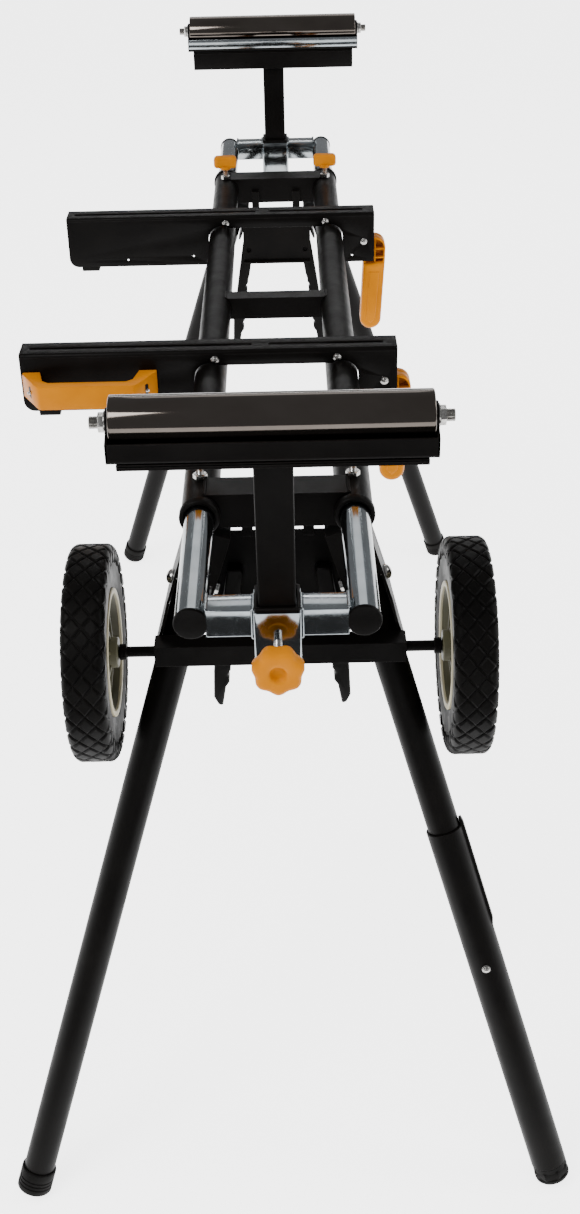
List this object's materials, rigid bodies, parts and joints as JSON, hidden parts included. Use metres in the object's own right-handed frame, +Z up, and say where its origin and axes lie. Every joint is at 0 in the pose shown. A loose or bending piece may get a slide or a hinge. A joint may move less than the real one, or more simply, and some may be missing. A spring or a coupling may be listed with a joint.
{
  "type": "mitre saw stand",
  "caption": "Folding wheeled mitre saw stand with two rails, splayed folding legs, sliding saw brackets and a roller on a telescopic arm at each end.",
  "frame": {"origin": "on the floor at the middle of the stand, under the middle of the rails", "axes": "+Z up, +Y along the rails away from the wheel end, +X to the right seen from the wheel end"},
  "size_m": [0.6952, 1.702, 1.092],
  "materials": {
    "black_steel": "satin powder coat",
    "black_plastic": "moulded, fine grain",
    "rubber": "matte",
    "tyre": "matte with a diamond tread",
    "hub_cream": "satin moulded",
    "zinc": "bright zinc plate",
    "roller_chrome": "polished dark chrome",
    "orange_plastic": "satin moulded"
  },
  "bodies": {
    "frame": {"main_rail_left": "black_steel", "main_rail_right": "black_steel", "mid_beam": "black_steel", "axle_beam": "black_steel", "axle_rod": "black_steel", "end_beam_near": "black_steel", "end_beam_far": "black_steel", "collar_near_left": "black_plastic", "collar_near_right": "black_plastic", "collar_far_left": "black_plastic", "collar_far_right": "black_plastic", "leg_bracket_near_left": "black_steel", "leg_bracket_near_right": "black_steel", "leg_bracket_far_left": "black_steel", "leg_bracket_far_right": "black_steel", "pivot_bolt_near_left": "zinc", "pivot_bolt_near_right": "zinc", "pivot_bolt_far_left": "zinc", "pivot_bolt_far_right": "zinc"},
    "wheel_left": {"tyre_left": "tyre", "wheel_hub_left": "hub_cream"},
    "wheel_right": {"tyre_right": "tyre", "wheel_hub_right": "hub_cream"},
    "leg_near_left": {"leg_near_left": "black_steel", "foot_cap_near_left": "rubber"},
    "leg_near_right": {"leg_near_right": "black_steel"},
    "leg_far_left": {"leg_far_left": "black_steel", "foot_cap_far_left": "rubber"},
    "leg_far_right": {"leg_far_right": "black_steel", "foot_cap_far_right": "rubber"},
    "leg_sleeve": {"leg_sleeve": "black_steel"},
    "screw_foot": {"screw_foot": "rubber"},
    "trigger_near_left": {"trigger_near_left": "black_plastic"},
    "lock_knob_near_left": {"lock_knob_near_left": "orange_plastic"},
    "trigger_near_right": {"trigger_near_right": "black_plastic"},
    "lock_knob_near_right": {"lock_knob_near_right": "orange_plastic"},
    "arm_near": {"arm_frame_near": "zinc", "arm_cap_near_left": "black_plastic", "arm_cap_near_right": "black_plastic"},
    "star_knob_near": {"star_knob_near": "orange_plastic"},
    "roller_post_near": {"roller_post_near": "black_steel", "roller_cradle_near": "black_steel"},
    "roller_near": {"roller_near": "roller_chrome"},
    "trigger_far_left": {"trigger_far_left": "black_plastic"},
    "lock_knob_far_left": {"lock_knob_far_left": "orange_plastic"},
    "trigger_far_right": {"trigger_far_right": "black_plastic"},
    "lock_knob_far_right": {"lock_knob_far_right": "orange_plastic"},
    "arm_far": {"arm_frame_far": "zinc", "arm_cap_far_left": "black_plastic", "arm_cap_far_right": "black_plastic"},
    "star_knob_far": {"star_knob_far": "orange_plastic"},
    "roller_post_far": {"roller_post_far": "black_steel", "roller_cradle_far": "black_steel"},
    "roller_far": {"roller_far": "roller_chrome"},
    "saw_bracket_near": {"saw_bracket_near": "black_steel", "carry_grip": "orange_plastic"},
    "clamp_lever_near": {"clamp_lever_near": "orange_plastic"},
    "saw_bracket_far": {"saw_bracket_far": "black_steel"},
    "clamp_lever_far": {"clamp_lever_far": "orange_plastic"}
  },
  "joints": [
    {"name": "wheel_left_spin", "type": "hinge", "parent": "frame", "child": "wheel_left", "pos_m": [-0.203, -0.6075, 0.709], "axis": [1, 0, 0], "continuous": true},
    {"name": "wheel_right_spin", "type": "hinge", "parent": "frame", "child": "wheel_right", "pos_m": [0.203, -0.6075, 0.709], "axis": [1, 0, 0], "continuous": true},
    {"name": "leg_near_left_fold", "type": "hinge", "parent": "frame", "child": "leg_near_left", "pos_m": [-0.096, -0.5515, 0.764], "axis": [0.9563, 0, -0.2924], "range_deg": [0, 105.5]},
    {"name": "leg_near_right_fold", "type": "hinge", "parent": "frame", "child": "leg_near_right", "pos_m": [0.096, -0.5515, 0.764], "axis": [0.9563, 0, 0.2924], "range_deg": [0, 105.5]},
    {"name": "leg_far_left_fold", "type": "hinge", "parent": "frame", "child": "leg_far_left", "pos_m": [-0.078, 0.5515, 0.805], "axis": [-0.9563, 0, 0.2924], "range_deg": [0, 105.5]},
    {"name": "leg_far_right_fold", "type": "hinge", "parent": "frame", "child": "leg_far_right", "pos_m": [0.078, 0.5515, 0.805], "axis": [-0.9563, 0, -0.2924], "range_deg": [0, 105.5]},
    {"name": "leg_sleeve_slide", "type": "slide", "parent": "leg_near_right", "child": "leg_sleeve", "axis": [0.2817, -0.2672, -0.9215], "range_m": [0, 0.06]},
    {"name": "screw_foot_turn", "type": "hinge", "parent": "leg_sleeve", "child": "screw_foot", "pos_m": [0.096, -0.5515, 0.764], "axis": [0.2817, -0.2672, -0.9215], "range_deg": [0, 360]},
    {"name": "trigger_near_left_squeeze", "type": "hinge", "parent": "frame", "child": "trigger_near_left", "pos_m": [-0.048, -0.534, 0.762], "axis": [0, 1, 0], "range_deg": [0, 12]},
    {"name": "lock_knob_near_left_turn", "type": "hinge", "parent": "frame", "child": "lock_knob_near_left", "pos_m": [-0.0825, -0.532, 0.902], "axis": [0, 0, 1], "range_deg": [0, 360]},
    {"name": "trigger_near_right_squeeze", "type": "hinge", "parent": "frame", "child": "trigger_near_right", "pos_m": [0.048, -0.534, 0.762], "axis": [0, -1, 0], "range_deg": [0, 12]},
    {"name": "lock_knob_near_right_turn", "type": "hinge", "parent": "frame", "child": "lock_knob_near_right", "pos_m": [0.0825, -0.532, 0.902], "axis": [0, 0, 1], "range_deg": [0, 360]},
    {"name": "arm_near_slide", "type": "slide", "parent": "frame", "child": "arm_near", "axis": [0, -1, 0], "range_m": [-0.16, 0.2]},
    {"name": "star_knob_near_turn", "type": "hinge", "parent": "arm_near", "child": "star_knob_near", "pos_m": [0, -0.826, 0.845], "axis": [0, 1, 0], "range_deg": [0, 360]},
    {"name": "roller_post_near_lift", "type": "slide", "parent": "arm_near", "child": "roller_post_near", "axis": [0, 0, 1], "range_m": [-0.04, 0.05]},
    {"name": "roller_near_spin", "type": "hinge", "parent": "roller_post_near", "child": "roller_near", "pos_m": [0, -0.774, 1.068], "axis": [1, 0, 0], "continuous": true},
    {"name": "trigger_far_left_squeeze", "type": "hinge", "parent": "frame", "child": "trigger_far_left", "pos_m": [-0.048, 0.534, 0.762], "axis": [0, 1, 0], "range_deg": [0, 12]},
    {"name": "lock_knob_far_left_turn", "type": "hinge", "parent": "frame", "child": "lock_knob_far_left", "pos_m": [-0.0825, 0.532, 0.902], "axis": [0, 0, 1], "range_deg": [0, 360]},
    {"name": "trigger_far_right_squeeze", "type": "hinge", "parent": "frame", "child": "trigger_far_right", "pos_m": [0.048, 0.534, 0.762], "axis": [0, -1, 0], "range_deg": [0, 12]},
    {"name": "lock_knob_far_right_turn", "type": "hinge", "parent": "frame", "child": "lock_knob_far_right", "pos_m": [0.0825, 0.532, 0.902], "axis": [0, 0, 1], "range_deg": [0, 360]},
    {"name": "arm_far_slide", "type": "slide", "parent": "frame", "child": "arm_far", "axis": [0, 1, 0], "range_m": [-0.16, 0.2]},
    {"name": "star_knob_far_turn", "type": "hinge", "parent": "arm_far", "child": "star_knob_far", "pos_m": [0, 0.826, 0.845], "axis": [0, 1, 0], "range_deg": [0, 360]},
    {"name": "roller_post_far_lift", "type": "slide", "parent": "arm_far", "child": "roller_post_far", "axis": [0, 0, 1], "range_m": [-0.04, 0.05]},
    {"name": "roller_far_spin", "type": "hinge", "parent": "roller_post_far", "child": "roller_far", "pos_m": [0, 0.774, 1.068], "axis": [1, 0, 0], "continuous": true},
    {"name": "saw_bracket_near_slide", "type": "slide", "parent": "frame", "child": "saw_bracket_near", "axis": [0, 1, 0], "range_m": [-0.24, 0.4]},
    {"name": "clamp_lever_near_swing", "type": "hinge", "parent": "saw_bracket_near", "child": "clamp_lever_near", "pos_m": [0.136, -0.226, 0.854], "axis": [0, -1, 0], "range_deg": [0, 80]},
    {"name": "saw_bracket_far_slide", "type": "slide", "parent": "frame", "child": "saw_bracket_far", "axis": [0, 1, 0], "range_m": [-0.4, 0.16]},
    {"name": "clamp_lever_far_swing", "type": "hinge", "parent": "saw_bracket_far", "child": "clamp_lever_far", "pos_m": [0.136, 0.292, 0.854], "axis": [0, -1, 0], "range_deg": [0, 80]}
  ]
}
